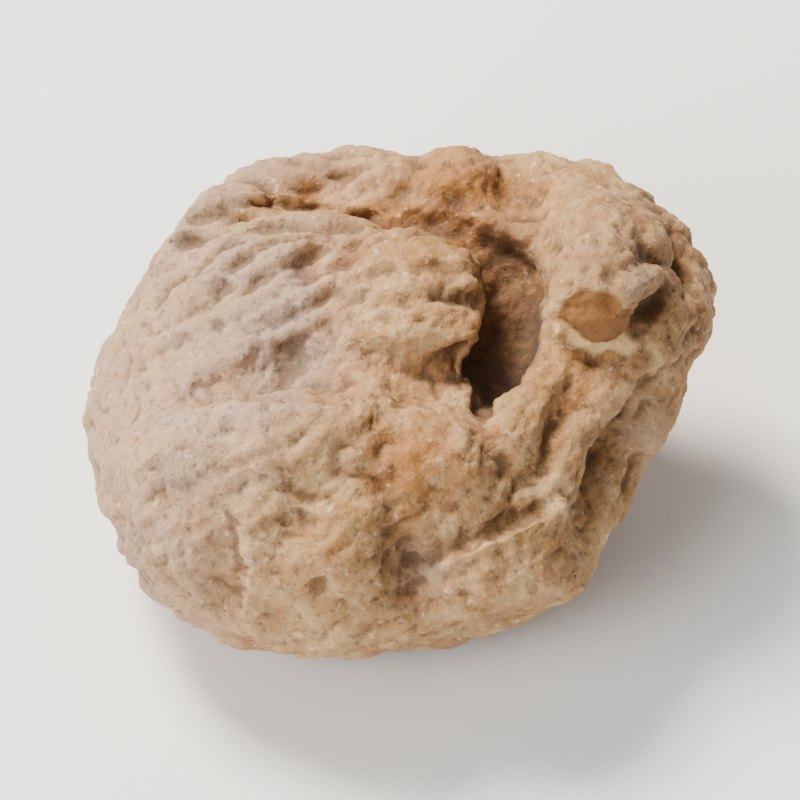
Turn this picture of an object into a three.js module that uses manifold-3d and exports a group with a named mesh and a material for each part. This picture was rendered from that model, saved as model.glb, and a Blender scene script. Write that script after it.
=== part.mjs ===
// A dried fig, lying on its flattened underside. One solid: fruit and stalk grew, and dried, as one piece.
// Millimetres, +Z up, origin under the middle of the fruit on the surface that it rests on.
// The fruit has sunk to a thick, lopsided disc. Its rim is rolled, and its upper face has fallen in to a
// hollow. The neck bends over the rim at the back right and ends in a broken stalk above the hollow.

import * as THREE from "three";
import { mergeVertices } from "three/addons/utils/BufferGeometryUtils.js";
import Module from "manifold-3d";

// Driving dimensions.
const LENGTH = 42;
const DEPTH = 34.5;
const HEIGHT = 24.8;
const NECK_ROOT_RADIUS = 3.2;
const NECK_END_RADIUS = 2.9;
const CUP_RADIUS = 2.25;
const CUP_DEPTH = 2.2;

// The skin's mesh.
const SKIN_DETAIL = 18;
const SKIN_SOFTENING = 3;
const NECK_STEPS = 18;
const NECK_SIDES = 20;

// Folds are laid out on a drawing plane tilted to the table, by how far across and how far up it they show.
const PLANE_TILT = THREE.MathUtils.degToRad(50);
const PLANE_HEIGHT = 12.5;
const PLANE_FACING = new THREE.Vector3(0, -Math.cos(PLANE_TILT), Math.sin(PLANE_TILT));

// How softly lobes, rolls and hollows run into each other.
const LOBE_BLEND = 2.5;
const ROLL_BLEND = 1.4;
const HOLLOW_BLEND = 1.2;

// Swollen flesh: ellipsoids, each with its centre and its three radii.
const LOBES = [
  { name: "belly", centre: [-3.4, 0.0, 9.6], radii: [17.5, 16.8, 10.5] },
  { name: "right side", centre: [5.2, 3.8, 10.4], radii: [10.8, 11.0, 9.8] },
  { name: "left cheek", centre: [-7.4, -6.6, 10.8], radii: [11.6, 10.4, 9.4] },
  { name: "right cheek", centre: [3.2, -7.8, 10.0], radii: [7.8, 8.0, 8.8] },
  { name: "left shoulder", centre: [-7.8, 4.6, 13.6], radii: [9.4, 9.4, 7.4] },
  { name: "right shoulder", centre: [2.4, 5.6, 14.0], radii: [12.0, 9.4, 7.8] },
  { name: "flesh under the hood", centre: [11.8, 3.8, 13.8], radii: [6.2, 7.6, 5.6] },
].map(({ centre, radii }) => ({
  centre: new THREE.Vector3(...centre),
  radii: new THREE.Vector3(...radii),
}));

// Rolled skin: round beads run together along a line. A bead is across, up, radius, and how far it stands
// proud.
const ROLLS = [
  {
    name: "back rim",
    beads: [
      [-15.2, 9.0, 1.5, 0.4],
      [-12.0, 11.6, 1.9, 0.9],
      [-9.2, 13.6, 2.4, 1.7],
      [-6.4, 14.2, 2.4, 1.9],
      [-2.8, 14.3, 2.8, 2.4],
      [0.4, 13.8, 2.5, 2.2],
      [3.6, 13.8, 3.0, 2.7],
      [6.4, 13.7, 2.7, 2.5],
      [9.6, 13.4, 3.1, 2.9],
      [12.2, 12.2, 3.2, 3.2],
    ],
  },
  {
    name: "hood round the neck",
    beads: [
      [12.2, 12.2, 3.2, 3.2],
      [15.2, 10.2, 3.2, 3.2],
      [17.3, 7.2, 3.1, 3.0],
      [17.1, 4.8, 2.8, 2.6],
      [15.2, 2.8, 2.4, 2.0],
      [12.8, 0.9, 2.2, 1.9],
      [10.9, -1.4, 2.1, 1.9],
      [9.7, -3.8, 2.0, 1.7],
      [8.9, -6.2, 1.7, 1.1],
    ],
  },
  {
    name: "skin drawn up from the hood on to the neck",
    beads: [
      [13.4, 11.4, 3.0, 4.2],
      [14.7, 9.3, 2.6, 5.0],
      [15.4, 7.6, 2.0, 4.6],
      [15.9, 5.6, 1.8, 3.6],
      [15.7, 3.9, 1.2, 2.4],
    ],
  },
  {
    name: "ridge under the neck",
    beads: [
      [11.4, 1.6, 2.1, 1.0],
      [9.7, 0.9, 2.5, 1.8],
      [7.6, -0.6, 2.6, 1.9],
      [6.2, -2.9, 2.3, 1.4],
    ],
  },
  {
    name: "right rim",
    beads: [
      [16.6, 1.4, 1.8, 1.3],
      [14.9, -1.6, 2.3, 1.7],
      [13.1, -4.6, 2.4, 1.7],
      [11.4, -7.6, 2.4, 1.4],
      [9.0, -10.8, 2.6, 1.0],
    ],
  },
  {
    name: "middle swelling",
    beads: [
      [-1.6, 9.4, 1.7, 1.8],
      [0.6, 9.7, 1.9, 2.5],
      [2.6, 9.0, 1.7, 2.4],
    ],
  },
  {
    name: "fold across the middle swelling",
    beads: [
      [-3.0, 7.7, 1.1, 1.8],
      [0.0, 7.4, 1.3, 2.5],
      [3.4, 7.5, 1.2, 2.4],
    ],
  },
  {
    name: "lower swelling",
    beads: [
      [-2.8, 4.6, 2.4, 1.8],
      [0.6, 4.7, 2.7, 2.7],
      [2.9, 4.2, 2.3, 2.3],
    ],
  },
  {
    name: "front cheek",
    beads: [
      [-14.2, -3.6, 3.6, 0.8],
      [-8.4, -3.0, 4.2, 1.7],
      [-3.6, -2.8, 3.8, 1.7],
    ],
  },
  {
    name: "boss above the pucker",
    beads: [
      [0.4, -4.0, 3.4, 1.8],
      [3.0, -4.0, 3.0, 1.6],
    ],
  },
  {
    name: "boss left of the pucker",
    beads: [
      [-4.4, -9.4, 3.4, 1.3],
      [-3.6, -7.4, 3.0, 1.2],
    ],
  },
  {
    name: "boss right of the pucker",
    beads: [
      [4.4, -11.4, 2.8, 1.1],
      [7.4, -10.2, 3.2, 1.3],
    ],
  },
].map(({ beads }) => beads.map(([across, up, radius, proud]) => onFlesh(across, up, radius, proud)));

// Sunken skin, cut by beads in the same way. A bead is across, up, radius, and how deep it goes.
const HOLLOWS = [
  {
    name: "hollow under the neck",
    beads: [
      [1.4, 11.5, 0.8, 0.7],
      [4.4, 10.7, 1.6, 1.7],
      [6.9, 9.0, 2.1, 2.6],
      [7.2, 7.0, 2.2, 2.9],
      [6.7, 4.8, 2.0, 2.7],
      [6.0, 2.6, 1.6, 2.1],
      [5.3, 0.6, 1.2, 1.1],
    ],
  },
  {
    name: "dent on the left",
    beads: [
      [-13.0, 1.4, 1.6, 0.5],
      [-7.4, 2.8, 2.8, 1.4],
      [-4.4, 1.6, 1.8, 0.6],
    ],
  },
  {
    name: "pucker",
    beads: [
      [-0.8, -7.6, 0.8, 0.7],
      [0.1, -9.4, 1.6, 1.3],
      [0.4, -11.2, 2.2, 1.4],
      [0.9, -13.2, 2.0, 0.6],
    ],
  },
  {
    name: "crease inside the right rim",
    beads: [
      [16.3, 2.1, 0.6, 0.7],
      [13.8, -0.4, 0.9, 1.3],
      [11.8, -3.0, 1.2, 1.7],
      [10.4, -6.0, 0.8, 0.9],
    ],
  },
].map(({ beads }) => beads.map(([across, up, radius, deep]) => onFlesh(across, up, radius, -deep)));

// The neck's middle line: across, up and height, from inside the rim at the back right to the broken end.
const NECK = [
  [11.4, 12.2, 18.6],
  [12.4, 10.8, 20.4],
  [12.7, 9.2, 21.5],
  [12.7, 7.9, 21.8],
  [12.4, 6.6, 21.9],
  [12.1, 5.0, 21.9],
].map((place) => laidOut(...place));

// The point that shows at a place on the drawing plane and lies at that height.
function laidOut(across, up, height) {
  const back = (up - (height - PLANE_HEIGHT) * Math.cos(PLANE_TILT)) / Math.sin(PLANE_TILT);
  return new THREE.Vector3(across, back, height);
}

// A bead on the flesh that shows at a place, or that comes nearest to showing there. It stands proud of the
// flesh by its reach, or sinks into it where its reach is negative.
function onFlesh(across, up, radius, reach) {
  const farthest = 30;
  const step = 0.125;
  let nearest = Infinity;
  let found = null;
  for (let travelled = farthest; travelled >= -farthest; travelled -= step) {
    const point = laidOut(across, up, PLANE_HEIGHT).addScaledVector(PLANE_FACING, travelled);
    const gap = fleshDistance(point);
    if (gap < nearest) {
      nearest = gap;
      found = point;
    }
    if (gap < 0) break;
  }
  const lift = reach - Math.sign(reach) * radius;
  return { at: found.addScaledVector(PLANE_FACING, lift), radius };
}

function smoothMin(a, b, blend) {
  const near = Math.max(blend - Math.abs(a - b), 0) / blend;
  return Math.min(a, b) - near * near * blend * 0.25;
}

function ellipsoidDistance(point, { centre, radii }) {
  const local = point.clone().sub(centre).divide(radii);
  const scaled = Math.max(local.clone().divide(radii).length(), 1e-9);
  return (local.length() * (local.length() - 1)) / scaled;
}

function fleshDistance(point) {
  let distance = Infinity;
  for (const lobe of LOBES) {
    distance = smoothMin(distance, ellipsoidDistance(point, lobe), LOBE_BLEND);
  }
  return distance;
}

// The distance to a chain of beads, whose radius runs evenly from each bead to the next.
function chainDistance(point, beads) {
  let nearest = Infinity;
  for (let i = 1; i < beads.length; i++) {
    const from = beads[i - 1];
    const to = beads[i];
    const along = to.at.clone().sub(from.at);
    const share = point.clone().sub(from.at).dot(along) / along.lengthSq();
    const t = THREE.MathUtils.clamp(share, 0, 1);
    const onLine = from.at.clone().addScaledVector(along, t);
    const radius = THREE.MathUtils.lerp(from.radius, to.radius, t);
    nearest = Math.min(nearest, point.distanceTo(onLine) - radius);
  }
  return nearest;
}

// Negative inside the fruit and positive outside it.
function skinDistance(point) {
  let distance = fleshDistance(point);
  for (const roll of ROLLS) {
    distance = smoothMin(distance, chainDistance(point, roll), ROLL_BLEND);
  }
  for (const hollow of HOLLOWS) {
    distance = -smoothMin(-distance, chainDistance(point, hollow), HOLLOW_BLEND);
  }
  return distance;
}

// How far the fruit's outermost skin lies from its middle, in a direction.
function skinReach(middle, direction) {
  const farthest = 32;
  const steps = 60;
  const caution = 0.7;
  let reach = farthest;
  for (let step = 0; step < steps; step++) {
    const gap = skinDistance(middle.clone().addScaledVector(direction, reach));
    reach -= gap * caution;
    if (Math.abs(gap) < 1e-4) break;
  }
  return reach;
}

// Averages each vertex's value with its neighbours', so that no fold overhangs.
function softened(values, index, rounds) {
  let soft = values;
  for (let round = 0; round < rounds; round++) {
    const total = new Float64Array(values.length);
    const count = new Float64Array(values.length);
    for (let i = 0; i < index.length; i += 3) {
      const corners = [index[i], index[i + 1], index[i + 2]];
      for (const from of corners) {
        for (const to of corners) {
          if (from === to) continue;
          total[from] += soft[to];
          count[from] += 1;
        }
      }
    }
    soft = soft.map((value, i) => (value + total[i] / count[i]) / 2);
  }
  return soft;
}

// The fruit's skin: each vertex of a sphere goes out from the middle to the outermost skin, and no lower
// than the table.
function fruitGeometry() {
  const geometry = new THREE.IcosahedronGeometry(1, SKIN_DETAIL);
  geometry.deleteAttribute("normal");
  geometry.deleteAttribute("uv");
  const merged = mergeVertices(geometry, 1e-5);
  const position = merged.getAttribute("position");
  const middle = new THREE.Vector3(0, 0, 10);
  const directions = Array.from({ length: position.count }, (_, i) =>
    new THREE.Vector3().fromBufferAttribute(position, i).normalize(),
  );
  const reaches = Float64Array.from(directions, (direction) => skinReach(middle, direction));
  const soft = softened(reaches, merged.index.array, SKIN_SOFTENING);
  directions.forEach((direction, i) => {
    const toTable = direction.z < 0 ? middle.z / -direction.z : Infinity;
    const point = middle.clone().addScaledVector(direction, Math.min(soft[i], toTable));
    position.setXYZ(i, point.x, point.y, point.z);
  });
  return merged;
}

// The neck: rings along its curve, from its root to the broken stalk.
function neckGeometry() {
  const curve = new THREE.CatmullRomCurve3(NECK);
  const circle = new THREE.Shape().absarc(0, 0, 1, 0, 2 * Math.PI);
  const geometry = new THREE.ExtrudeGeometry(circle, {
    extrudePath: curve,
    steps: NECK_STEPS,
    curveSegments: NECK_SIDES,
  });
  geometry.deleteAttribute("normal");
  geometry.deleteAttribute("uv");
  const merged = mergeVertices(geometry, 1e-5);
  const position = merged.getAttribute("position");
  const samples = Array.from({ length: NECK_STEPS + 1 }, (_, i) => curve.getPointAt(i / NECK_STEPS));
  const point = new THREE.Vector3();
  for (let i = 0; i < position.count; i++) {
    point.fromBufferAttribute(position, i);
    const gaps = samples.map((sample) => Math.abs(sample.distanceTo(point) - 1));
    const ring = gaps.indexOf(Math.min(...gaps));
    const radius = THREE.MathUtils.lerp(NECK_ROOT_RADIUS, NECK_END_RADIUS, ring / NECK_STEPS);
    point.sub(samples[ring]).multiplyScalar(radius).add(samples[ring]);
    position.setXYZ(i, point.x, point.y, point.z);
  }
  return merged;
}

// The cup in the neck's broken end.
function cupGeometry() {
  const curve = new THREE.CatmullRomCurve3(NECK);
  const mouth = curve.getPointAt(1);
  const geometry = new THREE.SphereGeometry(1, NECK_SIDES, NECK_SIDES / 2);
  geometry.scale(CUP_RADIUS, CUP_DEPTH, CUP_RADIUS);
  geometry.applyQuaternion(
    new THREE.Quaternion().setFromUnitVectors(new THREE.Vector3(0, 1, 0), curve.getTangentAt(1)),
  );
  geometry.translate(mouth.x, mouth.y, mouth.z);
  geometry.deleteAttribute("normal");
  geometry.deleteAttribute("uv");
  return mergeVertices(geometry, 1e-5);
}

const wasm = await Module();
wasm.setup();

function toSolid(geometry) {
  return new wasm.Manifold(
    new wasm.Mesh({
      numProp: 3,
      vertProperties: new Float32Array(geometry.getAttribute("position").array),
      triVerts: new Uint32Array(geometry.index.array),
    }),
  );
}

function toGeometry(solid) {
  const mesh = solid.getMesh();
  const geometry = new THREE.BufferGeometry();
  geometry.setAttribute("position", new THREE.BufferAttribute(mesh.vertProperties, 3));
  geometry.setIndex(new THREE.BufferAttribute(mesh.triVerts, 1));
  return geometry;
}

// Stretches the whole fruit to its driving dimensions, with the origin under the middle of its box.
function fitToSize(geometry) {
  geometry.computeBoundingBox();
  const size = geometry.boundingBox.getSize(new THREE.Vector3());
  const centre = geometry.boundingBox.getCenter(new THREE.Vector3());
  geometry.translate(-centre.x, -centre.y, -geometry.boundingBox.min.z);
  geometry.scale(LENGTH / size.x, DEPTH / size.y, HEIGHT / size.z);
  return geometry;
}

const solid = toSolid(fruitGeometry()).add(toSolid(neckGeometry())).subtract(toSolid(cupGeometry()));
const geometry = fitToSize(toGeometry(solid));
geometry.computeVertexNormals();

const driedSkin = new THREE.MeshStandardMaterial({ color: 0xc2a27c, roughness: 0.75, metalness: 0 });
const fig = new THREE.Mesh(geometry, driedSkin);
fig.name = "dried_fig";

const part = new THREE.Group();
part.add(fig);

export default part;
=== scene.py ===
"""A dried fig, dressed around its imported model: the skin is sculpted, wrinkled and coloured here."""

from __future__ import annotations

import logging
import math
from dataclasses import dataclass, field
from enum import Enum
from typing import Any

import bmesh
import bpy
import numpy as np
from mathutils import Matrix, Vector, kdtree, noise
from mathutils.bvhtree import BVHTree

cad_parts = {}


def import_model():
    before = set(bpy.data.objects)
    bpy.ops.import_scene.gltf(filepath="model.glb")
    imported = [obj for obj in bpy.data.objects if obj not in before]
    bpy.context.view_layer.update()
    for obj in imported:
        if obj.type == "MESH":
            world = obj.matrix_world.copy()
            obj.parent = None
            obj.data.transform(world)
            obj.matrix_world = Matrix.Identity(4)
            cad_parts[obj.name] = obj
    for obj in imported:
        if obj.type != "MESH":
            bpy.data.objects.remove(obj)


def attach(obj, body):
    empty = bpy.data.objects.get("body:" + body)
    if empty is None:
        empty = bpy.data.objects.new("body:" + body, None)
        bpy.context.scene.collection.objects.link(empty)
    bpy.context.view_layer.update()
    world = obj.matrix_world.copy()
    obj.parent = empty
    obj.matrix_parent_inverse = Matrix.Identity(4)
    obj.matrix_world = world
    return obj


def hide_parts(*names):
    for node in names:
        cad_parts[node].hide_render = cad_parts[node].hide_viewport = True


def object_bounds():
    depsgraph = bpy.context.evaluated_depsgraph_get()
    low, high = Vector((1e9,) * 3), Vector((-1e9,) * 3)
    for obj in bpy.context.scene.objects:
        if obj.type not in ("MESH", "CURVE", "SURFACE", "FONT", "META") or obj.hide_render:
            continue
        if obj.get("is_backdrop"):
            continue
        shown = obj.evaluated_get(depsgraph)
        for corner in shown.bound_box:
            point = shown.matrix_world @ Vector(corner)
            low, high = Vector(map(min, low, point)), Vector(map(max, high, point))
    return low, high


LOG = logging.getLogger("dried_fig")
MM = 0.001


# ---------------------------------------------------------------- arithmetic


def smooth_min(a: np.ndarray, b: np.ndarray, blend: float) -> np.ndarray:
    """Takes the smaller of two distances, with the join rounded.

    Args:
        a: One distance at each point.
        b: The other distance at each point.
        blend: How far off the join the rounding reaches, in millimetres.

    Returns:
        The blended distance at each point.
    """
    near = np.maximum(blend - np.abs(a - b), 0.0) / blend
    return np.minimum(a, b) - near * near * blend * 0.25


def smooth_max(a: np.ndarray, b: np.ndarray, blend: float) -> np.ndarray:
    """Takes the larger of two distances, with the join rounded.

    Args:
        a: One distance at each point.
        b: The other distance at each point.
        blend: How far off the join the rounding reaches, in millimetres.

    Returns:
        The blended distance at each point.
    """
    return -smooth_min(-a, -b, blend)


def unit(vectors: np.ndarray) -> np.ndarray:
    """Returns the vectors at length one."""
    return vectors / np.maximum(np.linalg.norm(vectors, axis=-1, keepdims=True), 1e-9)


def ramp(values: np.ndarray, low: float, high: float) -> np.ndarray:
    """Runs smoothly from 0 at the low value to 1 at the high one.

    Args:
        values: The values to ease.
        low: The value that gives 0.
        high: The value that gives 1.

    Returns:
        The eased values.
    """
    share = np.clip((values - low) / (high - low), 0.0, 1.0)
    return share * share * (3.0 - 2.0 * share)


def noise_at(points: np.ndarray, size: float, seed: float) -> np.ndarray:
    """Reads smooth noise.

    Args:
        points: The places to read it at, in millimetres.
        size: The size of its swellings, in millimetres.
        seed: A number that moves it to another part of the noise.

    Returns:
        The noise at each point, from -1 to 1.
    """
    shift = Vector((seed * 17.3, seed * 5.1, seed * 29.7))
    return np.array([noise.noise(Vector(point) / size + shift) for point in points])


def crumple_at(points: np.ndarray, size: float, seed: float) -> np.ndarray:
    """Reads a crumpled pattern: rounded swellings with sharp, winding creases between them.

    Args:
        points: The places to read it at, in millimetres.
        size: The swellings' size, in millimetres.
        seed: A number that moves it to another part of the pattern.

    Returns:
        The height at each point, from 0 in a crease to 1.
    """
    return np.clip(1.8 * np.abs(noise_at(points, size, seed)), 0.0, 1.0) ** 0.6


def pebbles_at(points: np.ndarray, size: float, seed: float) -> np.ndarray:
    """Reads a pattern of rounded pebbles with creases between them.

    Args:
        points: The places to read it at, in millimetres.
        size: The pebbles' size, in millimetres.
        seed: A number that moves it to another part of the pattern.

    Returns:
        The height at each point, from 0 in a crease to 1 on a pebble.
    """
    shift = Vector((seed * 3.7, seed * 11.9, seed * 7.3))
    heights = []
    for point in points:
        near = noise.voronoi(Vector(point) / size + shift)[0]
        heights.append(near[1] - near[0])
    return np.sqrt(np.clip(np.array(heights) * 1.6, 0.0, 1.0))


# ---------------------------------------------------------------- form


@dataclass(frozen=True)
class DrawingPlane:
    """The plane, tilted to the table, that rolls and folds are laid out on, in millimetres.

    A place on it is how far across it lies, and how far up the slope.
    """

    tilt_deg: float = 50.0
    height: float = 12.5

    @property
    def facing(self) -> np.ndarray:
        """The plane's outward normal."""
        tilt = math.radians(self.tilt_deg)
        return np.array([0.0, -math.cos(tilt), math.sin(tilt)])

    def place(self, across: float, up: float, height: float) -> np.ndarray:
        """Finds the point that shows at a place on the plane and lies at a height.

        Args:
            across: How far across the place is.
            up: How far up the place is.
            height: The point's height over the table.

        Returns:
            The point.
        """
        tilt = math.radians(self.tilt_deg)
        back = (up - (height - self.height) * math.cos(tilt)) / math.sin(tilt)
        return np.array([across, back, height])

    def coordinates(self, points: np.ndarray) -> np.ndarray:
        """Finds where points show on the plane.

        Args:
            points: The points.

        Returns:
            Each point's place, as across and up.
        """
        tilt = math.radians(self.tilt_deg)
        up = points[:, 1] * math.sin(tilt) + (points[:, 2] - self.height) * math.cos(tilt)
        return np.column_stack([points[:, 0], up])


PLANE = DrawingPlane()


@dataclass(frozen=True)
class Lobe:
    """Swollen flesh: an ellipsoid."""

    centre: tuple[float, float, float]
    radii: tuple[float, float, float]

    def distance(self, points: np.ndarray) -> np.ndarray:
        """Measures how far points are from the lobe.

        Args:
            points: The points.

        Returns:
            The distance at each point, negative inside.
        """
        radii = np.array(self.radii)
        local = (points - np.array(self.centre)) / radii
        size = np.linalg.norm(local, axis=1)
        scaled = np.maximum(np.linalg.norm(local / radii, axis=1), 1e-9)
        return size * (size - 1.0) / scaled


@dataclass(frozen=True)
class Chain:
    """Beads run together along a line: their centres and their radii."""

    places: np.ndarray
    radii: np.ndarray

    def distance(self, points: np.ndarray) -> np.ndarray:
        """Measures how far points are from the chain.

        Args:
            points: The points.

        Returns:
            The distance at each point, negative inside.
        """
        nearest = np.full(len(points), np.inf)
        for start, end, r0, r1 in zip(self.places[:-1], self.places[1:], self.radii[:-1], self.radii[1:]):
            along = end - start
            share = np.clip((points - start) @ along / (along @ along), 0.0, 1.0)
            gap = self.gap(points - start - share[:, None] * along)
            nearest = np.minimum(nearest, gap - (r0 + (r1 - r0) * share))
        return nearest

    def gap(self, offsets: np.ndarray) -> np.ndarray:
        """Returns how long each offset from the chain's line is."""
        return np.linalg.norm(offsets, axis=1)


class Trench(Chain):
    """Beads run together along a line and open to the front, with a rounded floor and upright sides."""

    def gap(self, offsets: np.ndarray) -> np.ndarray:
        """Returns how long each offset is, leaving out how far it stands in front of the line."""
        in_front = np.maximum(offsets @ PLANE.facing, 0.0)
        return np.linalg.norm(offsets - in_front[:, None] * PLANE.facing, axis=1)


Bead = tuple[float, float, float, float]
# a patch of colour is across, up, width and strength
Patch = tuple[float, float, float, float]


@dataclass(frozen=True)
class Roll:
    """Rolled skin laid on the flesh. A bead is across, up, radius, and how far it stands proud."""

    beads: tuple[Bead, ...]

    def lift(self, radius: float, reach: float) -> float:
        """Returns how far over the flesh a bead's centre lies."""
        return reach - radius

    def chain(self, form: FigForm) -> Chain:
        """Sets the beads on the flesh.

        Args:
            form: The form whose flesh they lie on.

        Returns:
            The beads where they lie.
        """
        places = [
            form.flesh_at(across, up) + PLANE.facing * self.lift(radius, reach)
            for across, up, radius, reach in self.beads
        ]
        return Chain(np.array(places), np.array([bead[2] for bead in self.beads]))


@dataclass(frozen=True)
class Hollow(Roll):
    """Skin sunk into the flesh. A bead is across, up, radius, and how deep it goes."""

    def lift(self, radius: float, reach: float) -> float:
        """Returns how far over the flesh a bead's centre lies."""
        return radius - reach

    def chain(self, form: FigForm) -> Chain:
        """Returns the beads where they lie, as a trench."""
        beads = super().chain(form)
        return Trench(beads.places, beads.radii)


@dataclass(frozen=True)
class Neck:
    """The neck, bent over the fruit. A bead is across, up, height, radius."""

    beads: tuple[Bead, ...]

    def chain(self) -> Chain:
        """Returns the neck's beads where they stand."""
        places = [PLANE.place(across, up, height) for across, up, height, _ in self.beads]
        return Chain(np.array(places), np.array([bead[3] for bead in self.beads]))


@dataclass(frozen=True)
class StalkEnd:
    """The neck's broken end: a shallow cup with a thin torn lip, in millimetres."""

    cup_radius: float = 2.2
    cup_depth: float = 2.4
    cup_rise: float = 0.2
    tear: float = 0.26
    edge: float = 0.2
    lean: float = 0.08

    def measure(self, points: np.ndarray, neck: Chain) -> tuple[np.ndarray, np.ndarray, np.ndarray]:
        """Measures points from the middle of the neck's end.

        Args:
            points: The points.
            neck: The neck that the end belongs to.

        Returns:
            How far each point is past the torn lip, how far it is from the middle of the cup, where 1
            is the cup's wall, and how far it lies above the neck's middle line.
        """
        axis = unit(neck.places[-1] - neck.places[-2])
        side = unit(np.cross(axis, [0.0, 0.0, 1.0]))
        local = points - neck.places[-1]
        outwards = local @ axis
        sideways = local @ side
        upwards = local @ np.cross(side, axis)
        angle = np.arctan2(upwards, sideways)
        ragged = np.sin(3 * angle + 0.4) + 0.7 * np.sin(5 * angle + 2.0) + 0.5 * np.sin(11 * angle + 0.5)
        past_lip = outwards - self.tear * ragged - self.lean * upwards
        off_middle = np.hypot(sideways, upwards - self.cup_rise)
        cup = np.hypot(outwards / self.cup_depth, off_middle / self.cup_radius)
        return past_lip, cup, upwards

    def open(self, skin: np.ndarray, points: np.ndarray, neck: Chain) -> np.ndarray:
        """Breaks the neck off and hollows its end.

        Args:
            skin: The distance to the neck at each point.
            points: The points.
            neck: The neck.

        Returns:
            The distance to the broken neck.
        """
        past_lip, cup, _ = self.measure(points, neck)
        broken = smooth_max(skin, past_lip, self.edge)
        return smooth_max(broken, (1.0 - cup) * self.cup_depth, self.edge)

    def marks(self, points: np.ndarray, neck: Chain) -> tuple[np.ndarray, np.ndarray]:
        """Finds the inside of the cup and the lower half of its lip, where the torn stalk shows.

        Args:
            points: The points on the skin.
            neck: The neck.

        Returns:
            How far each point is in the cup, and how far it is on the lip, from 0 to 1.
        """
        past_lip, cup, upwards = self.measure(points, neck)
        near = ramp(-np.linalg.norm(points - neck.places[-1], axis=1), -4.0, -3.4)
        inside = near * ramp(-cup, -1.16, -1.04)
        lip = near * (1.0 - inside) * ramp(past_lip, -0.6, -0.35) * ramp(-past_lip, -0.4, -0.2)
        return inside, lip * ramp(-upwards, -0.6, 0.6)


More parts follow.
